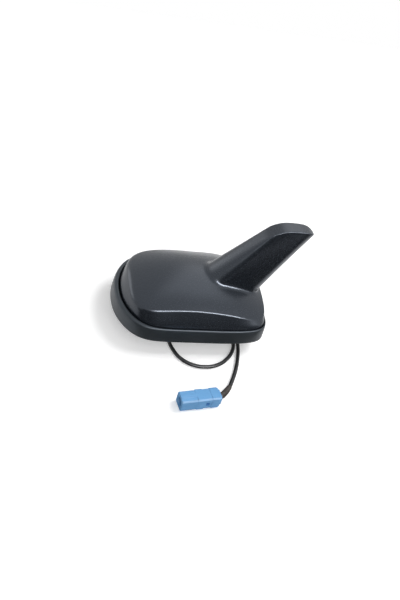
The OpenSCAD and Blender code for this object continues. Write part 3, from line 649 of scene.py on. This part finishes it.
def makeSkirt():
    s = skirt

    def ringAt(shareIn, z, extra=0.0):
        outline = planOutline(s["front"] + shareIn * s["ledgeFront"] + extra,
                              s["rear"] - shareIn * s["ledgeRear"] - extra,
                              s["half"] - shareIn * s["ledgeSide"] - extra)
        return [(x, y, z) for x, y in evenRing(outline, s["columns"])]

    floor, width = s["floor"], s["floorW"]
    rings = [ringAt(share, z) for share, z in s["section"]]
    # down the groove, then in over the skirt's floor and back under it
    for share, z, extra in ((0.94, 9.4, 0), (0.94, floor + 0.3, 0), (0.96, floor, 0),
                            (0, floor, width - 0.3), (0, floor, width), (0, floor - 0.3, width),
                            (0, 0.3, width), (0, 0, width), (0, 0, width - 0.4), (0, 0, 0.5)):
        rings.append(ringAt(share, z, extra))
    bm = bmesh.new()
    loops = loftRings(bm, rings)
    bmesh.ops.bridge_loops(bm, edges=loopEdges(bm, loops[0]) + loopEdges(bm, loops[-1]))
    piece = newPiece("rubber_skirt", bm)
    addSubdivision(piece, 2)
    piece.data.materials.append(materials["Moulded EPDM rubber"])
    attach(piece, "root")
    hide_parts("gasket")


makeSkirt()
print("skirt made")


# plug: the housing is a merged copy of its CAD solid with its edges broken

plug = {
    "edgeMm": 0.28, "segments": 3,
    "sharpDegrees": 32,    # edges sharper than this are broken
    "mergeMm": 0.005, "flatDegrees": 1,    # what joins the copy's loose triangles to whole faces
}


def bevelledCopy(node, name, s, materialName):
    bm = bmesh.new()
    bm.from_mesh(nodes[node].data)
    bmesh.ops.remove_doubles(bm, verts=bm.verts, dist=s["mergeMm"] * mm)
    bmesh.ops.dissolve_limit(bm, angle_limit=math.radians(s["flatDegrees"]),
                             verts=bm.verts, edges=bm.edges)
    mesh = bpy.data.meshes.new(name)
    bm.to_mesh(mesh)
    bm.free()
    for face in mesh.polygons:
        face.use_smooth = True
    piece = bpy.data.objects.new(name, mesh)
    bpy.context.scene.collection.objects.link(piece)
    modifier = piece.modifiers.new("Bevel", "BEVEL")
    modifier.width = s["edgeMm"] * mm
    modifier.segments = s["segments"]
    modifier.limit_method = "ANGLE"
    modifier.angle_limit = math.radians(s["sharpDegrees"])
    modifier.harden_normals = True
    piece.data.materials.append(materials[materialName])
    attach(piece, "root")
    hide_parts(node)
    return piece


plugPiece = bevelledCopy("plug_housing", "plug_body", plug, "Light blue PBT")


# the CAD solids that stay, under the finish that each gets
stays = {
    "Die cast zinc with thread": ["base_plate"],
    "Soft black rubber": ["cover_seal", "neck_grommet"],
    "Green solder mask": ["circuit_board"],
    "Fired ceramic": ["patch_antenna"],
    "Foam tape": ["patch_tape"],
    "Tinned brass": ["feed_pin", "fin_radiator", "contact_spring", "contact_shell", "centre_contact"],
    "Zinc plated steel": ["shield_can", "board_screws", "cover_screws", "toothed_washer", "roof_nut"],
    "Black epoxy": ["board_chips"],
    "White nylon": ["radiator_holder", "contact_insulator"],
    "PVC cable jacket": ["inner_lead"],
    "Blue PBT": ["plug_lock"],
}
for materialName, names in stays.items():
    for name in names:
        nodes[name].data.materials.clear()
        nodes[name].data.materials.append(materials[materialName])

print("plug and small parts finished")


# floor, light and background

studio = {
    "floorZ": -0.013, "floorSize": 1.0, "floorGap": 0.00005,
    "worldLevel": 0.36, "floorColour": "f2f2f2", "floorGlow": 0.32,
    # softboxes: where they stand, their size, their power and the rays that see them
    "softboxes": {
        "key": ((0.62, 0.10, 1.02), (0.55, 0.55), 9.0, "diffuse"),
        "fill": ((0.10, -1.00, 0.90), (1.20, 1.20), 6.5, "diffuse"),
        "back": ((0.40, 0.52, 1.06), (1.15, 1.40), 2.5, "gloss"),
        "back middle": ((0.38, 0.50, 1.02), (0.80, 1.05), 1.3, "gloss"),
        "near": ((0.19, -0.70, 0.53), (1.15, 0.14), 22.0, "gloss"),
        "left": ((-0.80, 0.62, 0.20), (0.60, 0.38), 1.1, "both"),
    },
    # black sheet on the near side, upright and on the floor, which only shows in the object's gloss:
    # painted shade in what the near walls, the skirt and the fin reflect, standing for a shaded floor
    # and dark surroundings there
    "sheetX": (-0.28, 0.30), "sheetY": -0.16, "sheetHeight": 0.085,
    "sheetFloorY": (-0.14, -0.047), "sheetLift": 0.0003,
}


def makeFloor():
    bm = bmesh.new()
    bmesh.ops.create_grid(bm, x_segments=4, y_segments=4, size=studio["floorSize"] / 2)
    bmesh.ops.translate(bm, verts=bm.verts, vec=(0, 0, studio["floorZ"] - studio["floorGap"]))
    floor = newPiece("floor", bm)
    material = bpy.data.materials.new("Pale floor")
    material.use_nodes = True
    tree = material.node_tree
    tree.nodes.remove(tree.nodes["Principled BSDF"])
    out = tree.nodes["Material Output"]
    rays = addNode(tree, "ShaderNodeLightPath")
    seen = addNode(tree, "ShaderNodeMath", {"operation": "MAXIMUM"}, {
        0: rays.outputs["Is Camera Ray"], 1: rays.outputs["Is Glossy Ray"]})
    seenToo = addNode(tree, "ShaderNodeMath", {"operation": "MAXIMUM"}, {
        0: seen.outputs["Value"], 1: rays.outputs["Is Transmission Ray"]})
    level = addNode(tree, "ShaderNodeMath", {"operation": "MULTIPLY"}, {
        0: seenToo.outputs["Value"], 1: studio["floorGlow"]})
    glow = addNode(tree, "ShaderNodeEmission", {}, {
        "Color": (1, 1, 1, 1), "Strength": level.outputs["Value"]})
    paint = addNode(tree, "ShaderNodeBsdfDiffuse", {}, {"Color": fromHex(studio["floorColour"])})
    both = addNode(tree, "ShaderNodeAddShader")
    tree.links.new(glow.outputs["Emission"], both.inputs[0])
    tree.links.new(paint.outputs["BSDF"], both.inputs[1])
    tree.links.new(both.outputs["Shader"], out.inputs["Surface"])
    floor.data.materials.append(material)


def makeLights():
    for name, (place, size, watts, rays) in studio["softboxes"].items():
        data = bpy.data.lights.new(name, "AREA")
        data.shape = "RECTANGLE"
        data.size, data.size_y = size
        data.energy = watts
        softbox = bpy.data.objects.new(name, data)
        aim = Vector(place).to_track_quat("Z", "Y").to_matrix().to_4x4()
        softbox.matrix_world = Matrix.Translation(place) @ aim
        softbox.visible_diffuse = rays != "gloss"
        softbox.visible_glossy = rays != "diffuse"
        bpy.context.scene.collection.objects.link(softbox)


# painted dark reflection: a black sheet that only glossy rays see, which paints shade into the
# reflections on the object's near side
def makeDarkReflectionSheet():
    bm = bmesh.new()
    (left, right), (near, far) = studio["sheetX"], studio["sheetFloorY"]
    low, high, y = studio["floorZ"] + studio["sheetLift"], studio["sheetHeight"], studio["sheetY"]
    for corners in ([(left, y, low), (right, y, low), (right, y, high), (left, y, high)],
                    [(left, near, low), (right, near, low), (right, far, low), (left, far, low)]):
        bmesh.ops.contextual_create(bm, geom=[bm.verts.new(corner) for corner in corners])
    darkReflectionSheet = newPiece("darkReflectionSheet", bm)
    material, tree, shader = newMaterial("Black sheet for painted dark reflections")
    shader.inputs["Base Color"].default_value = fromHex("080808")
    shader.inputs["Specular IOR Level"].default_value = 0.0
    darkReflectionSheet.data.materials.append(material)
    darkReflectionSheet.visible_camera = darkReflectionSheet.visible_diffuse = darkReflectionSheet.visible_shadow = False


def makeWorld():
    world = bpy.data.worlds.new("studio")
    bpy.context.scene.world = world
    world.use_nodes = True
    tree = world.node_tree
    background = tree.nodes["Background"]
    rays = addNode(tree, "ShaderNodeLightPath")
    seen = addNode(tree, "ShaderNodeMath", {"operation": "MAXIMUM"}, {
        0: rays.outputs["Is Camera Ray"], 1: rays.outputs["Is Glossy Ray"]})
    seenToo = addNode(tree, "ShaderNodeMath", {"operation": "MAXIMUM"}, {
        0: seen.outputs["Value"], 1: rays.outputs["Is Transmission Ray"]})
    level = addNode(tree, "ShaderNodeMapRange", {}, {
        "Value": seenToo.outputs["Value"], "To Min": studio["worldLevel"], "To Max": 1.0})
    background.inputs["Color"].default_value = (1, 1, 1, 1)
    tree.links.new(level.outputs["Result"], background.inputs["Strength"])


makeFloor()
makeDarkReflectionSheet()
makeLights()
makeWorld()
bpy.context.scene.view_settings.view_transform = "Standard"
print("studio set")
